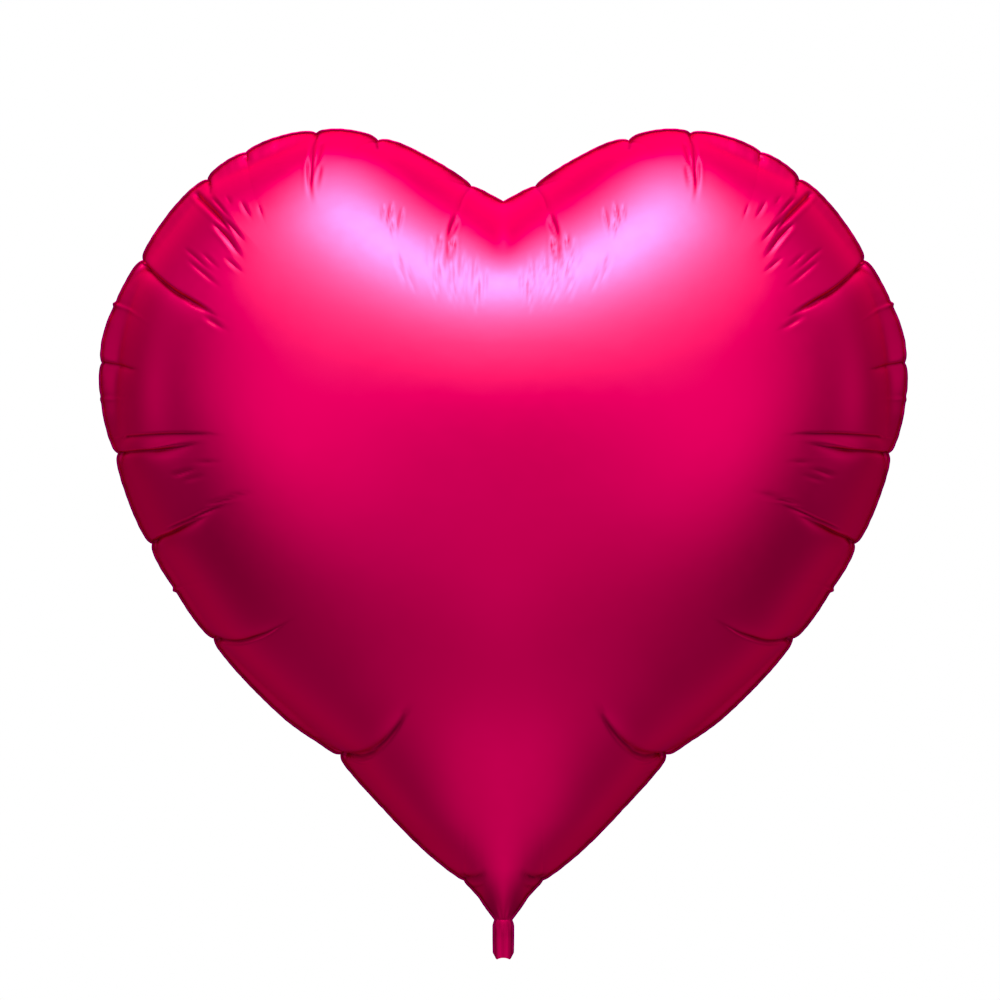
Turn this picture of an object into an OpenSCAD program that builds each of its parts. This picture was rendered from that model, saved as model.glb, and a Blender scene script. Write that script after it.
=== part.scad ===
// Heart-shaped foil balloon, inflated.
// Two metallised film panels are welded together round the rim and puffed out by the gas.
// A filling tail hangs from the lower tip, and a flat self-sealing valve runs up through it.
// The origin is the neck, where the tail meets the heart. +Z is up through the notch,
// +X is across the lobes, and the front panel faces -Y.

/* [Heart] */
// Width across both lobes
heart_w = 1560; // [1300:10:1700]
// Height from the neck to the top of the lobes
heart_h = 1525; // [1300:5:1700]
// Thickness from the front to the back at the fullest point
heart_t = 840; // [500:10:900]
// Height of the fullest point above the neck
belly_z = 780; // [700:10:860]

/* [Rim and film] */
// Width of the flat welded rim
rim_w = 5; // [4:0.5:6]
// Thickness of the foil
foil_t = 0.3; // [0.2:0.05:0.4]
// Thickness of the valve film
valve_t = 0.2; // [0.1:0.05:0.3]

/* [Tail] */
// Width of the neck
neck_w = 36; // [32:1:44]
// Width of the tail at its widest
tail_w = 42; // [40:1:52]
// Length of the tail below the neck
tail_len = 75; // [60:1:100]
// Width of the weld along each side of the tail
tail_weld_w = 5; // [4:0.5:6]
// Depth of the open mouth, front to back
mouth_d = 12; // [8:1:14]

/* [Valve] */
// Length of the valve tongue inside the heart
tongue_len = 160; // [80:5:240]
// Width of the valve tongue
tongue_w = 24; // [18:1:24]
// Width of the seal along each edge of the tongue
seal_w = 1.5; // [1:0.5:3]

/* [Smoothness] */
// Points along the rim, from the neck to the notch
rim_steps = 48; // [30:1:56]
// Rings from the fullest point to the rim
ring_steps = 12; // [8:1:14]

/* [Hidden] */

// Right half of the heart's outline, from just above the neck up to the notch.
// Each point is [share of half the width, share of the height].
HEART = [
    [0.040, 0.013], [0.079, 0.039], [0.196, 0.091], [0.338, 0.166], [0.428, 0.214],
    [0.540, 0.257], [0.682, 0.330], [0.792, 0.403], [0.886, 0.485], [0.957, 0.582],
    [0.997, 0.668], [0.985, 0.745], [0.916, 0.823], [0.797, 0.910], [0.672, 0.964],
    [0.536, 0.993], [0.408, 1.000], [0.282, 0.987], [0.180, 0.962], [0.062, 0.927],
    [0.000, 0.910]
];

// Steepness of the puffed profile: fuller where the power is lower
bulge_side = 0.6;
bulge_tip_extra = 0.28;
bulge_notch_less = 0.18;
// Angle, seen from the fullest point, over which the tip and the notch change the profile
bulge_blend = 14;

// Half the gap between the two valve films
valve_gap = 0.1;
// Thickness of the tack welds between the valve and the foil
tack_t = 0.1;
// Distance from the middle plane to the inner face of the flat foil
seam_y = valve_gap + valve_t + tack_t;
// Height of the puffed inner face above the flat rim
bulge_h = heart_t / 2 - seam_y - foil_t;

// The heart starts this far above the neck line and the tail this far below it
neck_gap = 1.5;
// Height of the open lip of the heart at the neck
throat_lip = 0.7;
// Points across the open throat
throat_steps = 4;

// Rows down the tail and columns across its channel
tail_rows = 10;
channel_cols = 8;
// Distance below the neck at which the tail reaches its full width and its full depth
tail_widen_len = 12;
tail_open_len = 28;
// Share of the half width at which the mouth's two lowest points lie
mouth_low_u = 0.6;
// Rise of the mouth's edge at its middle and at its two corners
mouth_rise = 3.2;
corner_rise = 13;
// How much narrower each side of the tail is at the mouth than at its widest
mouth_taper = 1;
// Rows of the tail that the valve inlet covers, and that the tacks cover
inlet_rows = 8;
tack_rows = [4, 5];

// The tongue bends about a line this far above the neck
tongue_z = 4;
// Height and thickness of the release coat, which keeps the valve films from welding shut
coat_h = 26;
coat_t = 0.08;

// One stretch of a Catmull-Rom curve from b to c
function curve_at(a, b, c, d, f) =
    0.5 * (2 * b + (c - a) * f + (2 * a - 5 * b + 4 * c - d) * f * f
    + (3 * b - a - 3 * c + d) * f * f * f);

// A smooth curve through all the points, with n steps in all
function smooth_curve(p, n) =
    let (last = len(p) - 1)
    [for (k = [0 : n])
        let (w = k * last / n, i = min(floor(w), last - 1))
        curve_at(
            i == 0 ? 2 * p[0] - p[1] : p[i - 1], p[i], p[i + 1],
            i + 2 > last ? 2 * p[last] - p[last - 1] : p[i + 2], w - i
        )
    ];

// The rim's outer edge, from the neck's right corner over both lobes to its left corner
right_rim = smooth_curve(
    concat(
        [[neck_w / 2, neck_gap]],
        [for (p = HEART) [p[0] * heart_w / 2, p[1] * heart_h]]
    ),
    rim_steps
);
rim_outer = concat(
    right_rim,
    [for (k = [rim_steps - 1 : -1 : 0]) [-right_rim[k][0], right_rim[k][1]]]
);
rim_last = len(rim_outer) - 1;

// The point that lies rim_w inside the rim's edge
function rim_inset(k) =
    let (
        along = rim_outer[min(k + 1, rim_last)] - rim_outer[max(k - 1, 0)],
        unit = along / norm(along)
    )
    rim_outer[k] + rim_w * [-unit[1], unit[0]];
rim_inner = [for (k = [0 : rim_last]) rim_inset(k)];

// The open throat between the two corners of the neck, from left to right
function throat(z) =
    let (x = neck_w / 2 - rim_w)
    [for (k = [0 : throat_steps]) [x * (2 * k / throat_steps - 1), z]];

// Whole edge of a panel, and the line inside it where the puffed part starts
panel_edge = concat(rim_outer, throat(neck_gap));
bulge_edge = concat(rim_inner, throat(neck_gap + throat_lip));
edge_count = len(panel_edge);

// Direction of each edge point seen from the fullest point, 0 straight down, and its distance
mid = [0, belly_z];
edge_angle = [for (p = bulge_edge) atan2(p[0], mid[1] - p[1])];
edge_reach = [for (p = bulge_edge) norm(p - mid)];

// The same distance averaged over the neighbouring directions, so that the neck and the
// notch don't crease the middle of the panel
function turn(a, b) = abs((a - b + 540) % 360 - 180);
edge_span = [
    for (j = [0 : edge_count - 1])
        turn(
            edge_angle[(j + 1) % edge_count],
            edge_angle[(j + edge_count - 1) % edge_count]
        )
];
soft_reach = [
    for (a = edge_angle)
        let (share = [
            for (j = [0 : edge_count - 1])
                edge_span[j] * exp(-pow(turn(edge_angle[j], a) / bulge_blend, 2))
        ])
        share * edge_reach / (share * [for (w = share) 1])
];

// Power of the puffed profile in one direction
function bulge_power(a) =
    bulge_side
    + bulge_tip_extra * exp(-pow(turn(a, 0) / bulge_blend, 2))
    - bulge_notch_less * exp(-pow(turn(a, 180) / bulge_blend, 2));

// Height of the puffed foil at a share s of the way to edge point j
function bulge_rise(j, s) =
    let (
        reach = soft_reach[j] + (edge_reach[j] - soft_reach[j]) * pow(s, 4),
        near = 1 - pow(s * edge_reach[j] / reach, 2)
    )
    s == 1 ? 0 : bulge_h * pow(near, bulge_power(edge_angle[j]));

// One ring of the puffed foil: t runs from 0 at the fullest point to 1 at the rim,
// and skin is how far this face lies outside the inner face
function bulge_ring(t, skin) =
    let (s = sin(90 * t))
    [for (j = [0 : edge_count - 1])
        let (
            shrink = (edge_reach[j] - foil_t + skin) / edge_reach[j],
            q = mid + (bulge_edge[j] - mid) * s * shrink
        )
        [q[0], -(seam_y + skin + bulge_rise(j, s)), q[1]]
    ];

// The edge of the flat rim at a distance y in front of the middle plane
function edge_ring(y) = [for (p = panel_edge) [p[0], -y, p[1]]];

panel_rings = concat(
    [for (k = [1 : ring_steps]) bulge_ring(k / ring_steps, foil_t)],
    [edge_ring(seam_y + foil_t), edge_ring(seam_y)],
    [for (k = [ring_steps : -1 : 1]) bulge_ring(k / ring_steps, 0)]
);

// The two triangles between two neighbouring rings. The inner face of the film splits its
// quads along the same line as the outer face, so that the film keeps its thickness.
function strip_faces(a, b, n, inner) =
    inner
    ? [[a, b, a + n], [b, b + n, a + n]]
    : [[a, b, b + n], [a, b + n, a + n]];

// A closed skin over rings of n points each, with a point in the middle at both ends.
// The first half of the rings runs outwards over the outer face, the rest back inwards.
module ring_skin(first, rings, last) {
    n = len(rings[0]);
    points = concat([first], [for (ring = rings) each ring], [last]);
    end = len(points) - 1;
    faces = concat(
        [for (j = [0 : n - 1]) [0, 1 + (j + 1) % n, 1 + j]],
        [for (k = [0 : len(rings) - 2], j = [0 : n - 1])
            let (a = 1 + k * n + j, b = 1 + k * n + (j + 1) % n)
            each strip_faces(a, b, n, 2 * k >= len(rings))
        ],
        [for (j = [0 : n - 1]) [end - n + j, end - n + (j + 1) % n, end]]
    );
    polyhedron(points = points, faces = faces);
}

// Faces of a grid of points, turned round for the inner side
function grid_faces(rows, cols, start, inward) =
    [for (r = [0 : rows - 2], c = [0 : cols - 2])
        let (
            a = start + r * cols + c,
            faces = [[a, a + 1, a + cols + 1], [a, a + cols + 1, a + cols]]
        )
        each (inward ? [for (f = faces) [f[2], f[1], f[0]]] : faces)
    ];

// Faces that join two grids along a run of point pairs
function edge_faces(run, shift) =
    [for (k = [0 : len(run) - 2])
        each [[run[k + 1], run[k], run[k] + shift],
              [run[k + 1], run[k] + shift, run[k + 1] + shift]]
    ];

// A closed sheet between an outer and an inner grid: rows run down, columns run to +X,
// and the outer grid faces -Y
module sheet_skin(outer, inner) {
    rows = len(outer);
    cols = len(outer[0]);
    shift = rows * cols;
    points = concat([for (row = outer) each row], [for (row = inner) each row]);
    border = concat(
        [for (c = [0 : cols - 1]) c],
        [for (r = [1 : rows - 1]) r * cols + cols - 1],
        [for (c = [cols - 2 : -1 : 0]) (rows - 1) * cols + c],
        [for (r = [rows - 2 : -1 : 0]) r * cols]
    );
    faces = concat(
        grid_faces(rows, cols, 0, false),
        grid_faces(rows, cols, shift, true),
        edge_faces(border, shift)
    );
    polyhedron(points = points, faces = faces);
}

// Half the width of the tail at a distance d below the neck
function tail_half(d) =
    neck_w / 2
    + (tail_w - neck_w) / 2 * sin(90 * min(1, d / tail_widen_len))
    - mouth_taper * pow(max(0, d - tail_open_len) / (tail_len - tail_open_len), 2);

// How far the channel has puffed out at a distance d below the neck
function tail_open(d) = mouth_d / 2 * sin(90 * min(1, d / tail_open_len));

// How far the tail reaches below the neck at a share u of its half width
function tail_bottom(u) =
    abs(u) < mouth_low_u
    ? tail_len - mouth_rise * (1 - pow(u / mouth_low_u, 2))
    : tail_len - corner_rise * pow((abs(u) - mouth_low_u) / (1 - mouth_low_u), 2);

// Columns across the tail: two over each side weld, and the channel between them.
// Each is [share of the channel's half width, share of the side weld's width].
tail_cols = concat(
    [[-1, -1], [-1, -0.5]],
    [for (k = [0 : channel_cols]) [2 * k / channel_cols - 1, 0]],
    [[1, 0.5], [1, 1]]
);
last_col = len(tail_cols) - 1;

// One point of the tail's film, y in front of the middle plane where the film is flat
function tail_point(row, col, y) =
    let (
        wide = tail_w / 2 - tail_weld_w,
        u = (tail_cols[col][0] * wide + tail_cols[col][1] * tail_weld_w) / (tail_w / 2),
        d = neck_gap + (tail_bottom(u) - neck_gap) * row / tail_rows,
        half = tail_half(d) - tail_weld_w,
        x = tail_cols[col][0] * half + tail_cols[col][1] * tail_weld_w,
        puff = tail_open(d) * (1 - pow(tail_cols[col][0], 2))
    )
    [x, -(y + puff), -d];

function tail_grid(rows, cols, y) =
    [for (r = rows) [for (c = cols) tail_point(r, c, y)]];

// A flat piece with the given [x, z] outline, from back_y behind to front_y in front
module flat_piece(outline, front_y, back_y) {
    translate([0, back_y, 0])
        rotate([90, 0, 0])
            linear_extrude(height = back_y + front_y)
                polygon(outline);
}

module foil_panel() {
    ring_skin([0, -heart_t / 2, belly_z], panel_rings, [0, foil_t - heart_t / 2, belly_z]);
}

module front_panel() {
    color("mediumvioletred") foil_panel();
}

module back_panel() {
    color("deeppink") mirror([0, 1, 0]) foil_panel();
}

module rim_weld() {
    outline = concat(rim_outer, [for (k = [rim_last : -1 : 0]) rim_inner[k]]);
    color("purple") flat_piece(outline, seam_y, seam_y);
}

module tail_foil() {
    sheet_skin(
        tail_grid([0 : tail_rows], [0 : last_col], seam_y + foil_t),
        tail_grid([0 : tail_rows], [0 : last_col], seam_y)
    );
}

module tail_front() {
    color("mediumvioletred") tail_foil();
}

module tail_back() {
    color("deeppink") mirror([0, 1, 0]) tail_foil();
}

module tail_weld() {
    points = [for (r = [0 : tail_rows], c = [last_col - 2, last_col]) tail_point(r, c, 0)];
    inner_side = [for (k = [0 : tail_rows]) [points[2 * k][0] + tack_t, points[2 * k][2]]];
    outer_side = [for (k = [tail_rows : -1 : 0]) [points[2 * k + 1][0], points[2 * k + 1][2]]];
    flat_piece(concat(inner_side, outer_side), seam_y, seam_y);
}

module tail_weld_right() {
    color("purple") tail_weld();
}

module tail_weld_left() {
    color("purple") mirror([1, 0, 0]) tail_weld();
}

module valve_inlet() {
    sheet_skin(
        tail_grid([0 : inlet_rows], [2 : last_col - 2], valve_gap + valve_t),
        tail_grid([0 : inlet_rows], [2 : last_col - 2], valve_gap)
    );
}

module valve_inlet_front() {
    color("lightblue") valve_inlet();
}

module valve_inlet_back() {
    color("powderblue") mirror([0, 1, 0]) valve_inlet();
}

module valve_tack() {
    sheet_skin(
        tail_grid(tack_rows, [4 : last_col - 4], seam_y),
        tail_grid(tack_rows, [4 : last_col - 4], valve_gap + valve_t)
    );
}

module valve_tack_front() {
    color("orange") valve_tack();
}

module valve_tack_back() {
    color("orange") mirror([0, 1, 0]) valve_tack();
}

// A flat strip of the tongue, w wide and h high, centred at x
module tongue_strip(x, w, h, front_y, back_y) {
    translate([x - w / 2, -front_y, tongue_z])
        cube([w, front_y + back_y, h]);
}

module valve_tongue_front() {
    color("lightblue")
        tongue_strip(0, tongue_w, tongue_len, valve_gap + valve_t, -valve_gap);
}

module valve_tongue_back() {
    color("powderblue")
        tongue_strip(0, tongue_w, tongue_len, -valve_gap, valve_gap + valve_t);
}

module valve_seal(side) {
    x = side * (tongue_w - seal_w) / 2;
    color("steelblue") tongue_strip(x, seal_w, tongue_len, valve_gap, valve_gap);
}

module valve_seal_left() {
    valve_seal(-1);
}

module valve_seal_right() {
    valve_seal(1);
}

module release_coat() {
    w = tongue_w - 2 * seal_w - 1;
    color("white") tongue_strip(0, w, coat_h, coat_t - valve_gap, valve_gap);
}

front_panel();
back_panel();
rim_weld();
tail_front();
tail_back();
tail_weld_left();
tail_weld_right();
valve_inlet_front();
valve_inlet_back();
valve_tack_front();
valve_tack_back();
valve_tongue_front();
valve_tongue_back();
valve_seal_left();
valve_seal_right();
release_coat();
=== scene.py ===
import math

import bpy
import numpy as np
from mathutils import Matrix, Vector, geometry


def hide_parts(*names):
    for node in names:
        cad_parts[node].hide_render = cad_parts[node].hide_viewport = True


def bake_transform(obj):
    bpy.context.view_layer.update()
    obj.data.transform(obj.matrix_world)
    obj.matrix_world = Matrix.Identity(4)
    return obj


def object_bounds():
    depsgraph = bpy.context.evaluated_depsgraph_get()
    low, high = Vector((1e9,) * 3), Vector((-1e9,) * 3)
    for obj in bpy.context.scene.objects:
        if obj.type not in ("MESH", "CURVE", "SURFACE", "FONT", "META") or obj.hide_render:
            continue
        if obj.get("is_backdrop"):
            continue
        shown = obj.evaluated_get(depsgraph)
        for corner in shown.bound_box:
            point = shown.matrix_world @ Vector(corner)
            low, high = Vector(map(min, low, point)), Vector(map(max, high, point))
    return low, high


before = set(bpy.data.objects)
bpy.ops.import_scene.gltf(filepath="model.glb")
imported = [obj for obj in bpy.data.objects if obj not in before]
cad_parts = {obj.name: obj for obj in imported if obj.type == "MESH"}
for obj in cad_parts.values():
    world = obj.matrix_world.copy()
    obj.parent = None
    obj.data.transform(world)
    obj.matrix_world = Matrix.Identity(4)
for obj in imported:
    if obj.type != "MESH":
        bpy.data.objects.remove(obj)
cad_low, cad_high = (list(corner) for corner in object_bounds())

# ------------------------------------ sizes and places, metres
HALF_THICK = cad_high[1]  # the CAD's own half thickness
BELLY = np.array([0.0, 0.78])  # x, z of the belly's centre, which the finished rim is measured round
FLAT_CENTRE = np.array([0.0, 0.90])  # the same for the flat cut
FLANGE = 0.005  # width of the rim weld
WELD_HALF = 0.0005  # half the thickness of a weld
PLY_GAP = 0.0005  # half the gap between the two films at the seam and the tail
NECK_Z = 0.0015  # where the heart ends and the tail begins
MESH_SIZE = 0.036  # triangle size of the inflated film
SIM_STEPS, QUICK_STEPS = 900, 250
THETA_N, SIGMA_N = 128, 20  # the inflated film is kept on this polar grid
MIDDLE_SOFT = 40  # passes that round the film over along the middle line
MIDDLE_WIDE, MIDDLE_FADE = 0.45, 0.35  # how wide that band is, radians, and how gently it ends, sigma

# The half outline of the flat cut of one panel, from the neck round to the notch. The numbers come from a
# fitting program outside this script, rounded: it inflated a cut and corrected it to meet the picture.
FLAT_CUT = [
    [0.018, 0.0], [0.052, 0.028], [0.125, 0.067], [0.25, 0.124], [0.36, 0.20], [0.457, 0.287],
    [0.60, 0.389], [0.717, 0.525], [0.81, 0.678], [0.88, 0.843], [0.926, 1.014], [0.935, 1.12],
    [0.912, 1.277], [0.842, 1.40], [0.76, 1.55], [0.66, 1.64], [0.516, 1.727], [0.38, 1.758],
    [0.26, 1.767], [0.13, 1.740], [0.0, 1.702],
]
TAIL_LEN = 0.075

# Pleats of the right half, x and z at the rim. The left half is their mirror image.
# (x, z, depth of the notch in the rim, or less than 0 for a nub that stands out, lean of the columns from the
# radial line in degrees, whether the film breaks into a flat on each side of it)
PLEATS = [
    (0.064, 1.413, 0.004, -46, False),
    (0.242, 1.504, 0.0065, -37, False),
    (0.361, 1.519, 0.005, -26, True),
    (0.496, 1.481, 0.003, -24, False),
    (0.57, 1.428, 0.006, -10, True),
    (0.689, 1.27, 0.0065, -2, True),
    (0.755, 1.191, -0.0045, 0, False),
    (0.77, 1.075, 0.004, 8, False),
    (0.784, 1.004, -0.002, 12, False),
    (0.753, 0.898, 0.0065, 16, True),
    (0.682, 0.724, 0.006, 19, True),
    (0.639, 0.634, -0.005, 8, False),
    (0.562, 0.541, 0.0055, -6, True),
    (0.319, 0.315, 0.0085, -35, True),
    (0.076, 0.078, 0.003, 0, False),
]
# Stretches of the rim whose columns stand closer together for fine folds: two ends, x and z, and the spacing.
FINE = [
    ((0.0, 1.389), (0.08, 1.42), 0.0007),
    ((0.08, 1.42), (0.25, 1.508), 0.002),
    ((0.5, 1.478), (0.665, 1.33), 0.0018),
    ((0.77, 0.96), (0.735, 0.86), 0.0018),
    ((0.705, 0.78), (0.65, 0.67), 0.0018),
]


# ------------------------------------ curves and small helpers
def through(points, per):
    """A smooth open curve through points, with per steps between two of them."""
    p = np.array(points, float)
    p = np.vstack([2 * p[0] - p[1], p, 2 * p[-1] - p[-2]])
    t = (np.arange(per) / per)[:, None]
    rows = []
    for a, b, c, d in zip(p[:-3], p[1:-2], p[2:-1], p[3:]):
        square, cube = 2 * a - 5 * b + 4 * c - d, 3 * b - a - 3 * c + d
        rows.append(0.5 * (2 * b + (c - a) * t + square * t**2 + cube * t**3))
    return np.vstack(rows + [p[-2:-1]])


def spaced(line, n):
    """The line again, as n points an equal distance apart."""
    along = np.r_[0, np.cumsum(np.linalg.norm(np.diff(line, axis=0), axis=1))]
    at = np.linspace(0, along[-1], n)
    return np.stack([np.interp(at, along, line[:, k]) for k in range(line.shape[1])], axis=1)


def nearest(points, line):
    """For each point, how far it is from the points of a line, and which of them is nearest."""
    far, which = np.empty(len(points)), np.empty(len(points), int)
    for i in range(0, len(points), 4000):
        d = ((points[i:i + 4000, None] - line[None]) ** 2).sum(2)
        which[i:i + 4000] = d.argmin(1)
        far[i:i + 4000] = np.sqrt(d.min(1))
    return far, which


def inside(points, ring):
    """Whether each point is inside the closed ring."""
    x, y = points[:, 0:1], points[:, 1:2]
    x0, y0 = ring[:, 0], ring[:, 1]
    x1, y1 = np.roll(x0, -1), np.roll(y0, -1)
    cross = (y0 > y) != (y1 > y)
    with np.errstate(divide="ignore", invalid="ignore"):
        at = x0 + (y - y0) * (x1 - x0) / (y1 - y0)
    return (cross & (x < at)).sum(1) % 2 == 1


def smoothstep(t):
    t = np.clip(t, 0, 1)
    return t * t * (3 - 2 * t)


def twice_area(a, b, c):
    """Twice the signed area of the triangles between points a, b and c of a plane."""
    return (b[..., 0] - a[..., 0]) * (c[..., 1] - a[..., 1]) - (b[..., 1] - a[..., 1]) * (c[..., 0] - a[..., 0])


# ------------------------------------ inflating the flat cut
def cut_mesh(outline, h):
    """A triangle mesh of half a flat panel: points, triangles, and the places of seam, neck and centre line."""
    length = np.linalg.norm(np.diff(outline, axis=0), axis=1).sum()
    seam = spaced(outline, int(round(length / h)) + 1)
    top = seam[-1, 1]
    neck = np.array([[0.0, 0.0]])
    z = np.linspace(0, top, int(round(top / h)) + 1)[1:-1]
    centre = np.stack([np.zeros(len(z)), z], axis=1)
    rng = np.random.default_rng(1)
    row_gap = h * 0.8660254  # the rows of a grid of equal triangles
    xs, zs = np.arange(0, seam[:, 0].max() + h, h), np.arange(0, seam[:, 1].max() + h, row_gap)
    grid = np.array([(x + (h / 2 if j % 2 else 0), zz) for j, zz in enumerate(zs) for x in xs])
    grid += rng.uniform(-0.12 * h, 0.12 * h, grid.shape)
    ring = np.vstack([seam, centre[::-1], neck])
    grid = grid[inside(grid, ring)]
    edge = np.vstack([spaced(outline, int(length / h * 4)), centre, neck])
    far, _ = nearest(grid, edge)
    grid = grid[(far > h * 0.6) & (grid[:, 0] > h * 0.55)]
    points = np.vstack([ring, grid])
    n = len(ring)
    _, _, faces, _, _, _ = geometry.delaunay_2d_cdt(
        [Vector(p) for p in points], [(i, (i + 1) % n) for i in range(n)], [], 0, 1e-7)
    tri = np.array([f for f in faces if len(f) == 3])
    a = points[tri]
    area = twice_area(a[:, 0], a[:, 1], a[:, 2]) / 2
    tri[area < 0] = tri[area < 0][:, [0, 2, 1]]
    tri = tri[inside(a.mean(1), ring) & (np.abs(area) > 1e-3 * h * h)]
    return points, tri, np.arange(len(seam)), np.array([n - 1, 0]), np.nonzero(points[:, 0] < 1e-9)[0]


def edges_of(tri):
    """The edges of a triangle mesh, and for each inner edge the two points across it."""
    e = np.sort(np.vstack([tri[:, [0, 1]], tri[:, [1, 2]], tri[:, [2, 0]]]), axis=1)
    across = np.r_[tri[:, 2], tri[:, 0], tri[:, 1]]
    order = np.lexsort((e[:, 1], e[:, 0]))
    e, across = e[order], across[order]
    first = np.r_[True, (e[1:] != e[:-1]).any(1)]
    twin = np.nonzero(~first)[0]
    return e[first], np.stack([across[twin - 1], across[twin]], axis=1)


def batches(pairs, n):
    """Splits pairs into groups in which no point comes twice, so that a group is solved at once."""
    left, groups = np.arange(len(pairs)), []
    while len(left):
        current, rest = np.zeros(0, int), left
        for _ in range(7):
            busy = np.zeros(n, bool)
            busy[pairs[current].ravel()] = True
            free = rest[~busy[pairs[rest, 0]] & ~busy[pairs[rest, 1]]]
            if not len(free):
                break
            rank, low = np.arange(len(free)), np.full(n, len(free) + 1)
            np.minimum.at(low, pairs[free, 0], rank)
            np.minimum.at(low, pairs[free, 1], rank)
            new = free[(low[pairs[free, 0]] == rank) & (low[pairs[free, 1]] == rank)]
            current, rest = np.r_[current, new], np.setdiff1d(rest, new, assume_unique=True)
        groups.append(current)
        left = rest
    return groups


def inflate(points, tri, seam, neck, centre, steps, push=0.12, damp=0.95, slack=0.02):
    """Blows up a film that doesn't stretch and hardly resists being shortened. Works in millimetres.

    push is the pressure, damp the share of the speed that is kept, and slack the share of a shortening or of a
    sharp bend that is undone in each step."""
    flat = points * 1000
    n = len(flat)
    edges, bends = edges_of(tri)
    groups = []
    for pairs, kind in ((edges, 0), (bends, 1)):
        rest = np.linalg.norm(flat[pairs[:, 0]] - flat[pairs[:, 1]], axis=1)
        groups += [(pairs[g, 0], pairs[g, 1], rest[g][:, None], kind) for g in batches(pairs, n)]
    far, _ = nearest(flat, flat[seam])
    x = np.stack([flat[:, 0], 0.3 * np.minimum(far, 300), flat[:, 1]], axis=1)
    free = np.ones((n, 3))
    free[seam, 1] = 0
    free[neck] = 0
    free[centre, 0] = 0
    a = flat[tri]
    area = np.abs(twice_area(a[:, 0], a[:, 1], a[:, 2])) / 2
    mass = np.bincount(tri.ravel(), np.repeat(area / 3, 3), n)[:, None]
    speed = np.zeros_like(x)
    for step in range(steps):
        p, q, r = x[tri[:, 0]], x[tri[:, 1]], x[tri[:, 2]]
        normal = -np.cross(q - p, r - p) / 6
        force = np.stack([np.bincount(tri.ravel(), np.repeat(normal[:, k], 3), n) for k in range(3)], axis=1)
        speed = speed * damp + push * force / mass * free
        new = x + speed
        for i, j, rest, kind in groups:
            d = new[j] - new[i]
            size = np.sqrt((d * d).sum(1, keepdims=True))
            c = (size - rest) / size
            c = np.where(c > 0, c, c * slack) if kind == 0 else np.minimum(c, 0) * slack
            wi, wj = free[i], free[j]
            total = np.maximum(wi + wj, 1)
            new[i] += wi / total * c * d
            new[j] -= wj / total * c * d
        speed = new - x
        x = new
    return x / 1000


def sample(points, tri, values, at):
    """The values at places inside the flat mesh, by their place in the triangle they are in."""
    a, b, c = (points[tri[:, k]] for k in range(3))
    whole = twice_area(a, b, c)
    out = np.empty((len(at), values.shape[1]))
    for i in range(0, len(at), 500):
        p = at[i:i + 500, None]
        u, v = twice_area(a, p, c) / whole, twice_area(a, b, p) / whole
        best = np.minimum(np.minimum(u, v), 1 - u - v).argmax(1)
        k = np.arange(len(best))
        u, v = np.clip(u[k, best], 0, 1), np.clip(v[k, best], 0, 1)
        t = tri[best]
        shares = ((1 - u - v)[:, None], u[:, None], v[:, None])
        out[i:i + 500] = values[t[:, 0]] * shares[0] + values[t[:, 1]] * shares[1] + values[t[:, 2]] * shares[2]
    return out


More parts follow.
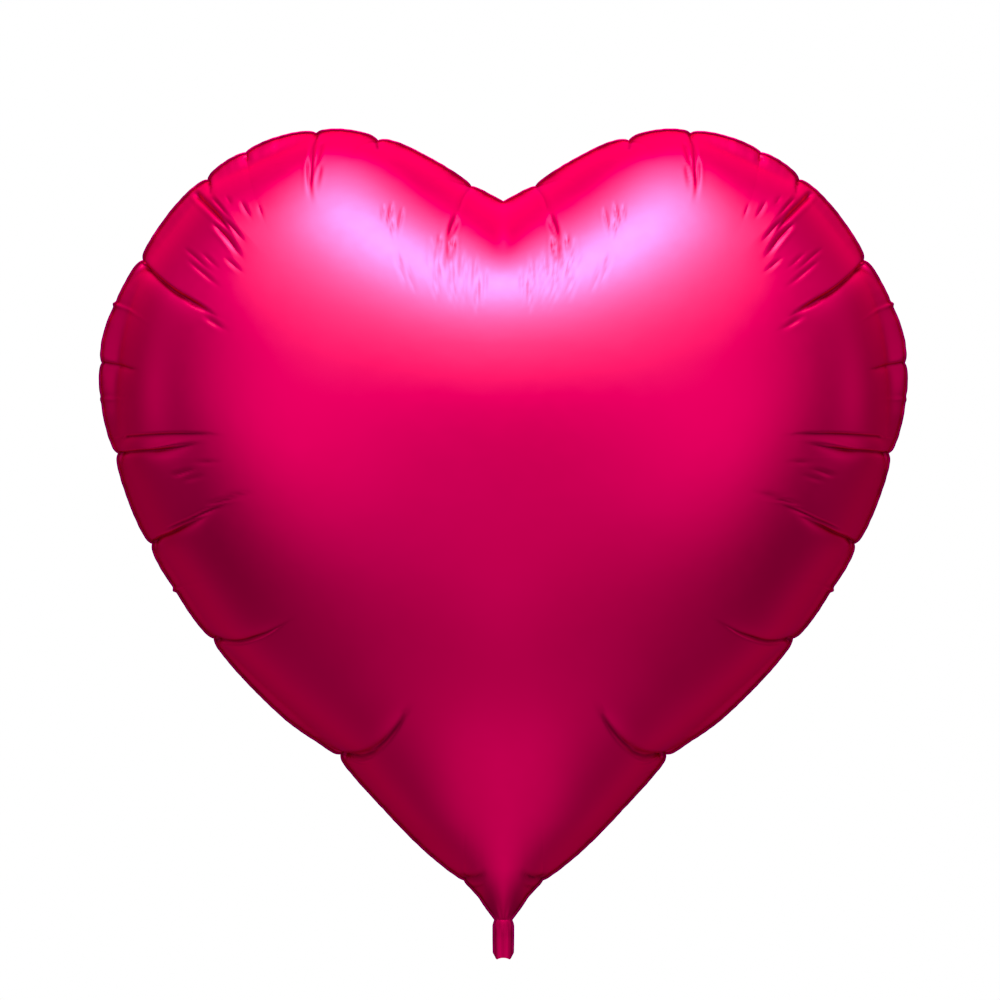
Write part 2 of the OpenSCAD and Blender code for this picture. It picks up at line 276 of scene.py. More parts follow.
class Film:
    """The inflated film as a smooth surface over the flat cut, in polar places (theta, sigma): theta 0 points
    to the neck and pi to the notch, and sigma is 0 at the belly and 1 at the seam."""

    def __init__(self, outline):
        mesh = cut_mesh(outline, MESH_SIZE)
        x = inflate(*mesh, SIM_STEPS)
        d = outline - FLAT_CENTRE
        self.angle, self.reach = np.arctan2(d[:, 0], -d[:, 1]), np.hypot(d[:, 0], d[:, 1])
        half = THETA_N // 2
        theta = np.linspace(0, math.pi, half + 1)
        sigma = np.linspace(0, 1, SIGMA_N + 1)
        ray = np.stack([np.sin(theta), -np.cos(theta)], axis=1)
        place = FLAT_CENTRE + (sigma[:, None] * self.radius(theta))[..., None] * ray
        place[..., 0] = np.maximum(place[..., 0], 0)
        grid = sample(mesh[0], mesh[1], x, place.reshape(-1, 2)).reshape(SIGMA_N + 1, half + 1, 3)
        grid[:, [0, -1], 0] = 0
        for _ in range(6):  # wrinkles as fine as the mesh go, the shape and the valley under the notch stay
            before, after = 2 * grid[:, :1] - grid[:, 1:2], 2 * grid[:, -1:] - grid[:, -2:-1]
            wide = np.concatenate([before, grid, after], axis=1)
            soft = (wide[:, :-2] + wide[:, 2:] + 2 * grid) / 4
            keep = np.linspace(0.2, 1, SIGMA_N + 1)[:, None, None]
            grid = grid * (1 - keep) + soft * keep
        mirrored = grid[:, 1:-1][:, ::-1] * [-1, 1, 1]
        grid = np.concatenate([grid, mirrored], axis=1)
        for _ in range(2):
            soft = grid.copy()
            soft[1:-1] = (grid[:-2] + 2 * grid[1:-1] + grid[2:]) / 4
            grid = soft
        # the middle line is rounded over: all of it below the belly, and its inner part above, under the notch
        turn = np.abs((np.arange(THETA_N) / THETA_N * 2 * math.pi + math.pi) % (2 * math.pi) - math.pi)
        share = 0
        for off_middle, end in ((turn, 0.60), (math.pi - turn, 0.30)):
            fade = 1 - smoothstep((sigma - end) / MIDDLE_FADE)
            share = np.maximum(share, np.exp(-(off_middle / MIDDLE_WIDE) ** 2) * fade[:, None])
        share = share[..., None]
        for _ in range(MIDDLE_SOFT):
            soft = (np.roll(grid, 1, 1) + np.roll(grid, -1, 1) + 2 * grid) / 4
            grid = grid * (1 - share) + soft * share
        grid[0] = grid[0].mean(0)
        grid[-1, :, 1] = 0
        self.grid = np.concatenate([np.roll(grid[1:2], half, 1), grid, 2 * grid[-1:] - grid[-2:-1]])

    def radius(self, theta):
        """How far the flat cut reaches from its centre at that angle."""
        t = np.abs((theta + math.pi) % (2 * math.pi) - math.pi)
        return np.interp(t, self.angle, self.reach)

    def at(self, theta, sigma):
        """The place of the film there, by a smooth spline through the grid."""
        t = theta / (2 * math.pi) % 1 * THETA_N
        s = np.clip(sigma, 0, 1) * SIGMA_N
        t, s = np.broadcast_arrays(t, s)
        i, j = np.floor(t).astype(int), np.minimum(np.floor(s).astype(int), SIGMA_N - 1)
        f, g = (t - i)[..., None], (s - j)[..., None]

        def weights(q):
            inner = (3 * q**3 - 6 * q**2 + 4) / 6, (-3 * q**3 + 3 * q**2 + 3 * q + 1) / 6
            return ((1 - q) ** 3 / 6, *inner, q**3 / 6)

        out = 0
        for a, wa in enumerate(weights(f)):
            for b, wb in enumerate(weights(g)):
                out = out + wa * wb * self.grid[j + b, (i + a - 1) % THETA_N]
        return out


flat_outline = through(FLAT_CUT, 24)
film = Film(flat_outline)


# ------------------------------------ the rim and the fine grid of the panels
HALF_WIDTH, HEIGHT, NECK_HALF = 0.780, 1.525, 0.018
HEART = [  # the finished outline, as shares of half width and height, the same as in the CAD
    [0.04, 0.013], [0.079, 0.039], [0.196, 0.091], [0.338, 0.166], [0.428, 0.214], [0.54, 0.257],
    [0.682, 0.33], [0.792, 0.403], [0.886, 0.485], [0.957, 0.582], [0.997, 0.668], [0.985, 0.745],
    [0.916, 0.823], [0.797, 0.91], [0.672, 0.964], [0.536, 0.993], [0.408, 1.0], [0.282, 0.987],
    [0.18, 0.962], [0.062, 0.927], [0.0, 0.91],
]
CORNER = 30  # over how many steps of the outline to each side the weld turns the notch's corner
COLUMNS = 1920  # round the rim; the CAD rim has 96
NECK_COLUMNS = 40
COLUMN_GAP, PLEAT_GAP = 0.0042, 0.0011  # between the columns in plain film, and in a pleat
OUTER_ROWS, MIDDLE_ROWS, INNER_ROWS = 40, 12, 9
OUTER_END, MIDDLE_END = 0.60, 0.34  # the sigma at which the outer and the middle rows end
ROW_CROWD = 1.35  # how much closer together the outer rows stand at the seam
PULL_BLUR = 30.0  # over how many steps of the table the even part of the pull is blurred
EVEN_DEEP, CLOSE_DEEP = 3, 50  # the powers of sigma with which the even pull and the rest of it fade inwards
NECK_FLAT, NECK_FLAT_HIGH = 0.45, 0.04  # how much flatter the film is at the neck, and up to what height
NUDGE = 2e-3  # the step in theta and sigma by which the surface's slope is found
TIP_HIGH, TIP_LOW = 0.25, 0.05  # the film is a roof below TIP_LOW, and none above TIP_LOW + TIP_BLEND
TIP_BLEND = 0.15
TIP_ROUND, TIP_EDGE = 2.0, 0.85  # the shape of the roof across the tip


def polar(p):
    d = p - BELLY
    return np.arctan2(d[..., 0], -d[..., 1]), np.hypot(d[..., 0], d[..., 1])


outline = through([[NECK_HALF, NECK_Z]] + [[a * HALF_WIDTH, b * HEIGHT] for a, b in HEART], 40)
outline = spaced(outline, 4001)
outline[-1, 0] = 0
tangent = np.gradient(outline, axis=0)
tangent /= np.linalg.norm(tangent, axis=1)[:, None]
tangent[-1] = [-1, 0]
outward = np.stack([tangent[:, 1], -tangent[:, 0]], axis=1)
weight = np.ones(2 * CORNER + 1) / (2 * CORNER + 1)
for k in range(2):
    past_notch = (outward[-CORNER - 1:-1, k] * (-1 if k == 0 else 1))[::-1]
    wide = np.r_[np.full(CORNER, outward[0, k]), outward[:, k], past_notch]
    outward[:, k] = np.convolve(wide, weight, "valid")
outward /= np.linalg.norm(outward, axis=1)[:, None]
rim_length = np.linalg.norm(np.diff(outline, axis=0), axis=1).sum()
rim_u = np.linspace(0, rim_length, len(outline))
seam_line = outline - FLANGE * outward
seam_line[-1, 0] = 0


def place_on_rim(p):
    return rim_u[np.hypot(*(outline - np.array(p)).T).argmin()]


pleats = sorted((place_on_rim(p[:2]), *p[2:]) for p in PLEATS)
pleat_u, pleat_depth, pleat_lean = (np.array([p[k] for p in pleats]) for k in range(3))


def column_places():
    """Distances round half the rim at which the columns stand, closer together at the pleats and fine folds."""
    u = np.linspace(0, rim_length, 6001)
    gap = np.full(len(u), COLUMN_GAP)
    for a, b, fine in FINE:  # each stretch is 20 mm longer at its ends, and fades in over 30 mm
        a, b = sorted((place_on_rim(a), place_on_rim(b)))
        into = smoothstep((u - a + 0.02) / 0.03) * smoothstep((b + 0.02 - u) / 0.03)
        gap = np.minimum(gap, COLUMN_GAP * (1 - into) + fine * into)
    for p in pleat_u:
        into = np.exp(-((u - p) / 0.013) ** 2)
        gap = np.minimum(gap, COLUMN_GAP * (1 - into) + PLEAT_GAP * into)
    total = np.r_[0, np.cumsum((1 / gap[1:] + 1 / gap[:-1]) / 2)]
    at = np.interp(np.linspace(0, total[-1], COLUMNS // 2 + 1), total, u)
    for p in pleat_u:  # one column stands exactly in each pleat
        at[np.abs(at - p).argmin()] = p
    return at


half_u = column_places()
half_seam = np.stack([np.interp(half_u, rim_u, seam_line[:, k]) for k in range(2)], axis=1)
half_out = np.stack([np.interp(half_u, rim_u, outward[:, k]) for k in range(2)], axis=1)
neck_x = np.linspace(0, half_seam[0, 0], NECK_COLUMNS // 2 + 1)[:-1]
ring = np.vstack([np.stack([neck_x, np.full(len(neck_x), NECK_Z)], axis=1), half_seam])
ring_u = np.r_[neck_x - half_seam[0, 0], half_u]
HALF = len(ring) - 1  # columns 0 (neck) to HALF (notch) are the right half
FULL = 2 * HALF

# the simulated seam is drawn in to the CAD rim along the rays from the belly
theta_table = np.linspace(0, math.pi, 1441)
seam_angle, seam_reach = polar(film.at(theta_table, 1.0)[:, [0, 2]])
seam_angle = np.maximum.accumulate(seam_angle + np.linspace(0, 1e-6, len(seam_angle)))
ring_angle, ring_reach = polar(ring)
pull = np.interp(seam_angle, ring_angle, ring_reach) / seam_reach
blur = np.exp(-(np.arange(-90, 91) / PULL_BLUR) ** 2)
even_pull = np.convolve(np.r_[pull[90:0:-1], pull, pull[-2:-92:-1]], blur / blur.sum(), "valid")
ring_theta = np.interp(ring_angle, seam_angle, theta_table)
ring_theta[0], ring_theta[-1] = 0, math.pi


def body_surface(theta, sigma):
    """The smooth body of the balloon, y outwards, with the simulated seam drawn to the CAD rim."""
    t = np.abs((theta + math.pi) % (2 * math.pi) - math.pi)
    p = film.at(theta, sigma)
    even = np.interp(t, theta_table, even_pull)
    more = (even - 1) * sigma**EVEN_DEEP + (np.interp(t, theta_table, pull) - even) * sigma**CLOSE_DEEP
    p[..., 0] *= 1 + more
    p[..., 2] = BELLY[1] + (p[..., 2] - BELLY[1]) * (1 + more)
    p[..., 1] *= 1 - NECK_FLAT * np.exp(-np.maximum(p[..., 2], 0) / NECK_FLAT_HIGH)
    return p


belly = body_surface(np.linspace(0, 2 * math.pi, 90)[:, None], np.linspace(0, 0.5, 26)[None])
thick_share = HALF_THICK / belly[..., 1].max()
lean = np.interp(ring_u, np.r_[-0.02, pleat_u, rim_length], np.r_[0, pleat_lean, 0])
lean = np.tan(np.radians(lean))

rows_outer = 1 - (1 - OUTER_END) * (np.arange(OUTER_ROWS + 1) / OUTER_ROWS) ** ROW_CROWD
rows_middle = OUTER_END - (OUTER_END - MIDDLE_END) * np.arange(1, MIDDLE_ROWS + 1) / MIDDLE_ROWS
rows_inner = MIDDLE_END - MIDDLE_END * np.arange(1, INNER_ROWS) / INNER_ROWS
bands = [(rows_outer, 1), (rows_middle, 2), (rows_inner, 4)]
col, sig = [], []  # column and sigma of each vertex of the right half
for rows, step in bands:
    c = np.arange(0, HALF + 1, step)
    col.append(np.tile(c, len(rows)))
    sig.append(np.repeat(rows, len(c)))
col, sig = np.concatenate(col), np.concatenate(sig)
inward = 1 - sig
vert_theta = ring_theta[col] + lean[col] * inward * (1 - inward)
vert_theta = np.clip(vert_theta, 0, math.pi)
vert_theta[col == 0], vert_theta[col == HALF] = 0, math.pi
base = body_surface(vert_theta, sig)
base[:, 1] *= thick_share
film_far = inward * film.radius(vert_theta)  # distance along the film from the seam
du = body_surface(vert_theta + NUDGE, sig) - body_surface(vert_theta - NUDGE, sig)
dr = body_surface(vert_theta, np.minimum(sig + NUDGE, 1)) - body_surface(vert_theta, sig - NUDGE)
normal = np.cross(dr, du)
normal /= np.linalg.norm(normal, axis=1)[:, None] + 1e-12
normal *= np.sign(normal[:, 1:2] + 1e-9)

# near the neck the film runs out into a smooth roof, narrower than the simulation's mesh can show
tip = base[:, 2] < TIP_HIGH
flank = seam_line[:1600]  # from the neck up to below the widest place
tip_width = np.interp(base[tip, 2], flank[:, 1], flank[:, 0])
tip_share = np.where(sig[tip] < 1, np.clip(base[tip, 0] / tip_width, 0, 1), 1.0)
ridge = base[(col == 0) & tip]
ridge = ridge[np.argsort(ridge[:, 2])]
roof = np.interp(base[tip, 2], ridge[:, 2], ridge[:, 1]) * (1 - tip_share**TIP_ROUND) ** TIP_EDGE
into_roof = 1 - smoothstep((base[tip, 2] - TIP_LOW) / TIP_BLEND)
base[tip, 1] += (roof - base[tip, 1]) * into_roof


# ------------------------------------ pleats, folds and fine lines
# Each fold is (points x, z from the rim inwards; half width; depth; kind), in mm. Without a kind it is a
# groove with soft shoulders, or a ridge if its depth is less than 0; "up" is a step whose upper side stands
# over the lower, and "down" the other way round.
FOLDS_MM = [
    # the fold under the flat of the lobe's top
    ([(359, 1518), (365, 1480), (366, 1430), (367, 1370)], 4, 3),
    ([(348, 1492), (355, 1460), (361, 1420)], 3.4, 1.3),
    ([(374, 1470), (372, 1430), (369, 1385)], 3.4, 1.3),
    ([(347, 1455), (352, 1425), (358, 1395)], 3.4, 1),
    # a few short lines beside it, and the tuck at the lobe's inner shoulder
    ([(243, 1503), (242, 1492), (239, 1478)], 5, 3),
    ([(208, 1370), (218, 1342), (226, 1328)], 3, 1.2),
    ([(224, 1362), (233, 1345)], 3, 0.8),
    ([(204, 1342), (215, 1312)], 3, 0.9),
    ([(188, 1362), (195, 1340), (203, 1312)], 3, 0.9),
    # the small tuck at the lobe's outer shoulder
    ([(496, 1482), (498, 1465)], 4, 1.6),
    # the folds at the lobe's corner
    ([(570, 1428), (564, 1405), (560, 1392)], 4.5, 3),
    ([(590, 1398), (583, 1391), (543, 1351), (508, 1306)], 4.5, 5.8),
    ([(560, 1392), (545, 1376), (520, 1348)], 3, 1.4),
    ([(530, 1346), (512, 1326), (490, 1300)], 3.2, 2.2),
    ([(558, 1344), (526, 1311), (494, 1266)], 4.2, 4.4),
    ([(532, 1392), (520, 1374)], 3, 0.6),
    ([(506, 1380), (494, 1362), (480, 1345)], 3, 0.8),
    ([(472, 1368), (462, 1346)], 3, 0.5),
    ([(526, 1268), (508, 1254), (494, 1244)], 3.5, 0.8),
    ([(612, 1296), (586, 1274), (556, 1246)], 3.5, 1),
    ([(604, 1272), (572, 1244), (534, 1212)], 3.5, 1),
    ([(574, 1284), (552, 1262), (536, 1250)], 3.5, 0.6),
    # the long fold under the lobe
    ([(690, 1262), (664, 1238), (630, 1211), (590, 1188), (538, 1156)], 7, 12.5, "up"),
    ([(612, 1193), (580, 1179), (545, 1160)], 3.5, 2.4),
    ([(566, 1158), (540, 1142), (520, 1134)], 4, 1.2),
    # short folds at the widest part
    ([(774, 1076), (752, 1071), (732, 1065), (705, 1060)], 5, 3.2, "up"),
    ([(755, 1191), (745, 1186)], 4, 2),
    # the two folds that close on a bright strip
    ([(752, 898), (702, 903), (660, 905), (610, 912), (560, 924)], 5.5, 8, "up"),
    ([(728, 932), (680, 934), (610, 936), (525, 936)], 5, 5, "up"),
    ([(700, 905), (655, 912), (600, 922), (560, 930)], 3.5, -2.2),
    ([(628, 856), (604, 864), (578, 873)], 3.5, 1),
    ([(606, 846), (560, 862)], 3.5, 0.7),
    ([(580, 880), (540, 886)], 4, 0.6),
    # the pair below them
    ([(682, 727), (660, 738), (638, 746), (601, 764), (555, 782)], 5.5, 9.2, "up"),
    ([(648, 754), (600, 773), (555, 793), (500, 812)], 4, 5, "up"),
    ([(560, 800), (520, 813), (478, 832)], 3.5, 1.4),
    ([(639, 634), (632, 636)], 4, 1.5),
    # the curved fold on the lower flank
    ([(560, 538), (510, 537), (475, 547), (441, 562), (396, 592)], 5.5, 6.8, "down"),
    # the strong curved fold above the tip
    ([(319, 314), (268, 318), (234, 344), (200, 386), (176, 432)], 6.5, 10.5, "down"),
    ([(300, 320), (262, 330), (236, 356)], 3.5, 1.6),
    ([(80, 80), (55, 85), (30, 98)], 6, 4.5),
    ([(66, 62), (45, 68), (32, 78)], 4, 1.2),
    # the fan of fine lines below the notch
    ([(64, 1412), (78, 1386), (87, 1352)], 4, 0.7),
    ([(86, 1356), (98, 1330), (109, 1300)], 3.6, 2.4),
    ([(82, 1346), (97, 1315), (110, 1288)], 3.4, 1.6),
    ([(90, 1310), (98, 1275), (110, 1243)], 3.3, 1.8),
    ([(96, 1302), (106, 1270), (115, 1240)], 3.3, 1.8),
    ([(116, 1312), (125, 1281), (136, 1252)], 3.3, 1.5),
    ([(133, 1300), (143, 1266), (154, 1238)], 3.3, 0.9),
    ([(120, 1254), (128, 1225), (136, 1197)], 3.3, 1.7),
    ([(92, 1256), (98, 1225), (107, 1186)], 3.3, 1.8),
    ([(72, 1275), (81, 1238), (90, 1205), (95, 1175)], 3.3, 1.4),
    ([(61, 1258), (72, 1225), (81, 1178)], 3.3, 1),
    ([(49, 1264), (57, 1225), (63, 1190)], 3.3, 1),
    ([(45, 1224), (50, 1197), (57, 1172)], 3.3, 1.4),
    ([(30, 1238), (36, 1210), (42, 1184)], 3.3, 0.7),
    ([(195, 1270), (192, 1222)], 4, 0.8),
    ([(176, 1250), (176, 1210)], 4, 0.5),
]
FOLDS = [([(x / 1000, z / 1000) for x, z in points], wide / 1000, deep / 1000, *(kind or "v"))
         for points, wide, deep, *kind in FOLDS_MM]
FOLD_DEPTH, FINE_DEPTH = 1.2, 1.9  # how much deeper the folds over 2 mm are made, and the finer ones
AT_RIM = 0.03  # a fold that starts nearer to the seam than this begins at it
RUN_OUT, RUN_IN = 0.6, 0.25  # the shares of a fold's length over which its inner and its outer end fade
GROOVE_REACH, STEP_REACH = 4.5, 8  # how many half widths to each side a fold reaches
CREASE_FULL = 1.6  # how much sooner than the fold the painted crease shade is full, from the fold's ends
SHARP_DEPTH = 0.006  # the depth from which a fold's painted crease shade is full
CREASE_SHADE = 0.45  # how bright the base colour is in the sharpest crease: painted shade
# Painted shade on the slack film of the tail and the neck: how bright its base colour is, at heights up to
# where it is taut.
NECK_TAIL_SHADE = [(-0.075, 0.74), (-0.035, 0.66), (-0.008, 0.42), (0.002, 0.55), (0.040, 0.70), (0.105, 1.0)]
GORE_FLAT = 0.75  # how far the film between two flats' pleats is flattened
GORE_SHORT = 0.26  # the flats longer than this are flattened less
GORE_IN, GORE_END, GORE_OUT = 0.06, 0.10, 0.26  # where a flat fades in and out, sigma from the seam
PILLOW, PILLOW_LONG = 0.004, 0.18  # how far the rim bows out between two pleats that far apart
NOTCH_WIDE, NUB_WIDE = 0.008, 0.0042  # how wide the notches and the nubs of the rim are
RIPPLE = 0.00015  # how high each of the rim's fine ripples is
FOLD_CLEAR, FOLD_SEAM = 0.014, 0.002  # the folds end at the seam: over this distance, and this sigma
RIM_FADE, WAVE_FADE = 0.045, 0.035  # how far inwards the film follows the rim's shape, and its waves


def varied(folds, seed):
    """Other folds of the same kinds, near the same pleats, for the film that the photograph doesn't show."""
    rng = np.random.default_rng(seed)
    out = []
    for points, wide, deep, kind in folds:
        at_rim = nearest(np.array(points[:1]), seam_line)[0][0] < AT_RIM
        if not at_rim and abs(deep) < 0.002 and rng.random() < 0.25:
            continue
        bend, turn = rng.normal(0, 0.010, 2), rng.normal(0, 0.012, 2)
        n = len(points)
        new = []
        for k, (x, z) in enumerate(points):
            share = k / (n - 1) if at_rim else 1.0
            new.append((x + share * (bend[0] + turn[0] * share), z + share * (bend[1] + turn[1] * share)))
        out.append((new, wide, deep * rng.uniform(0.7, 1.2), kind))
    return out


def along_line(points, line):
    """For each point: its share along a line, and its distance, positive to the line's left."""
    best, share, side = np.full(len(points), 9.0), np.zeros(len(points)), np.zeros(len(points))
    size = np.linalg.norm(np.diff(line, axis=0), axis=1)
    start = np.r_[0, np.cumsum(size)]
    for a, b, l, s in zip(line[:-1], line[1:], size, start):
        d = (b - a) / l
        t = np.clip((points - a) @ d, 0, l)
        off = points - a - t[:, None] * d
        dist = np.hypot(off[:, 0], off[:, 1])
        better = dist < best
        best[better] = dist[better]
        share[better] = ((s + t) / start[-1])[better]
        side[better] = (d[0] * off[:, 1] - d[1] * off[:, 0])[better]
    return share, np.where(side >= 0, best, -best)


def folded(folds):
    """How far the folds press each vertex in, and how much painted shade darkens the film along each crease
    there, 0 to 1.
    """
    depth, crease = np.zeros(len(base)), np.zeros(len(base))
    flat = base[:, [0, 2]]
    for points, wide, deep, kind in folds:
        line = through(points, 6) if len(points) > 2 else np.linspace(points[0], points[1], 5)
        reach = wide * (GROOVE_REACH if kind == "v" else STEP_REACH)
        near = ((flat > line.min(0) - reach) & (flat < line.max(0) + reach)).all(1)
        where = np.nonzero(near)[0]
        share, d = along_line(flat[where], line)
        from_rim = nearest(line[:1], seam_line)[0][0] < AT_RIM
        along = smoothstep((1 - share) / RUN_OUT)
        along *= 1.0 if from_rim else smoothstep(share / RUN_IN)
        if kind == "v":  # a pressed line between two low shoulders
            x = np.abs(d) / wide
            press = np.exp(-x**1.4) - 0.13 * np.exp(-((x - 2.4) / 1.1) ** 2)
            line_of = np.exp(-(x / 0.55) ** 2)
        else:
            # a steep side and one that runs out gently; the line runs inwards on the right half, so its left
            # is the lower side
            low = d if kind == "up" else -d
            gentle, steep = np.exp(-np.abs(low) / (wide * 2.2)), np.exp(-(np.abs(low) / (wide * 0.45)) ** 1.5)
            press = np.where(low > 0, gentle, steep)
            line_of = np.exp(-(low / (wide * np.where(low > 0, 0.75, 0.35))) ** 2)
        depth[where] += deep * (FOLD_DEPTH if abs(deep) > 0.002 else FINE_DEPTH) * along * press
        if deep > 0:
            # painted shade for the base colour, darkest along the fold's line
            sharp = min(1.0, (deep / SHARP_DEPTH) ** 0.5)
            crease[where] = np.maximum(crease[where], sharp * smoothstep(along * CREASE_FULL) * line_of)
    return depth, crease


def gores():
    """What flattening the film between two pleats adds to each vertex of the outer band."""
    n = (OUTER_ROWS + 1) * (HALF + 1)
    grid = base[:n].reshape(OUTER_ROWS + 1, HALF + 1, 3)
    add = np.zeros_like(grid)
    at = [np.abs(ring_u - p[0]).argmin() for p in pleats if p[3]]
    for a, b in zip(at[:-1], at[1:]):
        x = ((ring_u[a:b + 1] - ring_u[a]) / (ring_u[b] - ring_u[a]))[None, :, None]
        chord = grid[:, a:a + 1] * (1 - x) + grid[:, b:b + 1] * x
        length = ring_u[b] - ring_u[a]
        add[:, a:b + 1] = (chord - grid[:, a:b + 1]) * min(1.0, (GORE_SHORT / length) ** 1.5)
    far = (1 - rows_outer)[:, None, None]
    add *= GORE_FLAT * smoothstep(far / GORE_IN) * (1 - smoothstep((far - GORE_END) / GORE_OUT))
    out = np.zeros_like(base)
    out[:n] = add.reshape(-1, 3)
    return out


def rim_shape(u):
    """How far the rim stands out of the smooth outline: scallops between pleats, notches in them, ripples."""
    ends = np.r_[0, pleat_u, rim_length]
    k = np.clip(np.searchsorted(ends, u) - 1, 0, len(ends) - 2)
    length = ends[k + 1] - ends[k]
    x = np.clip((u - ends[k]) / length, 0, 1)
    out = PILLOW * np.minimum(1, length / PILLOW_LONG) * (4 * x * (1 - x)) ** 0.8
    out[(k == 0) | (k == len(ends) - 2)] *= 0.4  # less at the neck and at the notch
    for p, d in zip(pleat_u, pleat_depth):
        out -= d * (np.exp(-np.abs(u - p) / NOTCH_WIDE) if d > 0 else np.exp(-((u - p) / NUB_WIDE) ** 2))
    rng = np.random.default_rng(5)
    calm = smoothstep(u / 0.05) * smoothstep((rim_length - u) / 0.05)
    for wave in (0.019, 0.023, 0.031, 0.047):
        ripple = np.sin(u / wave * 2 * math.pi + rng.uniform(0, 6.28))
        out += RIPPLE * calm * ripple * (0.6 + 0.4 * np.sin(u / 0.21 + rng.uniform(0, 6.28)))
    return out


def rim_wave(u):
    """How far the rim waves to the front and back of the middle plane."""
    rng = np.random.default_rng(9)
    calm = smoothstep(u / 0.06) * smoothstep((rim_length - u) / 0.04)
    out = np.zeros_like(u)
    for wave, high in ((0.037, 0.0003), (0.061, 0.0006), (0.113, 0.0012), (0.23, 0.0020)):
        out += high * np.sin(u / wave * 2 * math.pi + rng.uniform(0, 6.28))
    return out * calm


rim_out, rim_y = rim_shape(ring_u), rim_wave(ring_u)
ring_out = np.vstack([np.tile([0.0, -1.0], (len(neck_x), 1)), half_out])

# the gathers of the film at the neck: height, the waves of two kinds across it, and how far up they fade
PUCKER, PUCKER_WAVES, PUCKER_SLOW, PUCKER_FADE = 0.0013, 4.6, 2.9, 0.035


def puckers(share, side):
    """The gathers across the neck, at a share of its half width."""
    share = np.clip(share, -1, 1)
    wave = 0.55 * np.cos(math.pi * PUCKER_WAVES * share + 0.9 * side)
    wave = wave + 0.45 * np.cos(math.pi * PUCKER_SLOW * share - 1.7 * side)
    return PUCKER * (1 - share**2) * (1 + wave) / 2


def panel(side, folds):
    """The film of one side: the place of each vertex of its right half, and the painted shade of its creases
    there.
    side is -1 in front and 1 behind."""
    depth, crease = folded(folds)
    p = base + gores()
    p -= normal * (depth * (smoothstep(film_far / FOLD_CLEAR) * smoothstep((1 - sig) / FOLD_SEAM)))[:, None]
    rim = rim_out[col] * np.exp(-film_far / RIM_FADE)
    p[:, [0, 2]] += ring_out[col] * rim[:, None]
    p[tip, 1] += puckers(tip_share, side) * np.exp(-base[tip, 2] / PUCKER_FADE)
    p[:, 1] += PLY_GAP
    p[:, 1] = p[:, 1] * side + rim_y[col] * np.exp(-film_far / WAVE_FADE)
    middle = (col == 0) | (col == HALF)
    p[middle, 0] = 0
    return np.column_stack([p, crease])


# ------------------------------------ meshes
def mesh_object(name, points, faces, smooth=True):
    mesh = bpy.data.meshes.new(name)
    mesh.from_pydata([tuple(p) for p in points], [], faces)
    mesh.update()
    o = bpy.data.objects.new(name, mesh)
    bpy.context.scene.collection.objects.link(o)
    mesh.shade_smooth() if smooth else mesh.shade_flat()
    return o


# The tail: its width, the length over which it widens from the neck, the length over which it opens, and how
# far its mouth is open. MOUTH_LOW is the share of its width in which the bottom edge is hollow, by MOUTH_RISE.
TAIL_W, TAIL_WIDEN, TAIL_OPEN, MOUTH_D = 0.042, 0.012, 0.028, 0.012
MOUTH_LOW, MOUTH_RISE, CORNER_RISE, MOUTH_TAPER, TAIL_WELD = 0.6, 0.0032, 0.013, 0.001, 0.005
TAIL_ROWS = 44


def tail_half(d):
    """Half the width of the tail at a distance below the neck, the same rule as in the CAD."""
    return (NECK_HALF + (TAIL_W / 2 - NECK_HALF) * np.sin(math.pi / 2 * np.minimum(1, d / TAIL_WIDEN))
            - MOUTH_TAPER * (np.maximum(0, d - TAIL_OPEN) / (TAIL_LEN - TAIL_OPEN)) ** 2)


def tail_bottom(u):
    u = np.abs(u)
    return np.where(u < MOUTH_LOW, TAIL_LEN - MOUTH_RISE * (1 - (u / MOUTH_LOW) ** 2),
                    TAIL_LEN - CORNER_RISE * ((u - MOUTH_LOW) / (1 - MOUTH_LOW)) ** 2)


def tail_film(side, cols):
    """Rows of points down one film of the tail. cols is -1 to 1 across the open channel."""
    u = cols * (TAIL_W / 2 - TAIL_WELD) / (TAIL_W / 2)
    bottom = tail_bottom(u)
    share = np.linspace(0, 1, TAIL_ROWS + 1)[1:, None]
    d = -NECK_Z + (bottom + NECK_Z) * share
    below = np.maximum(d, 0)
    x = cols * (tail_half(below) - TAIL_WELD)
    open_by = MOUTH_D / 2 * np.sin(math.pi / 2 * np.minimum(1, below / TAIL_OPEN))
    y = PLY_GAP + (open_by + 0.0003) * (1 - cols**2)
    y += puckers(cols, side) * (0.2 + 0.8 * np.exp(-below / 0.012))
    return np.stack([x, side * y, -d], axis=2)


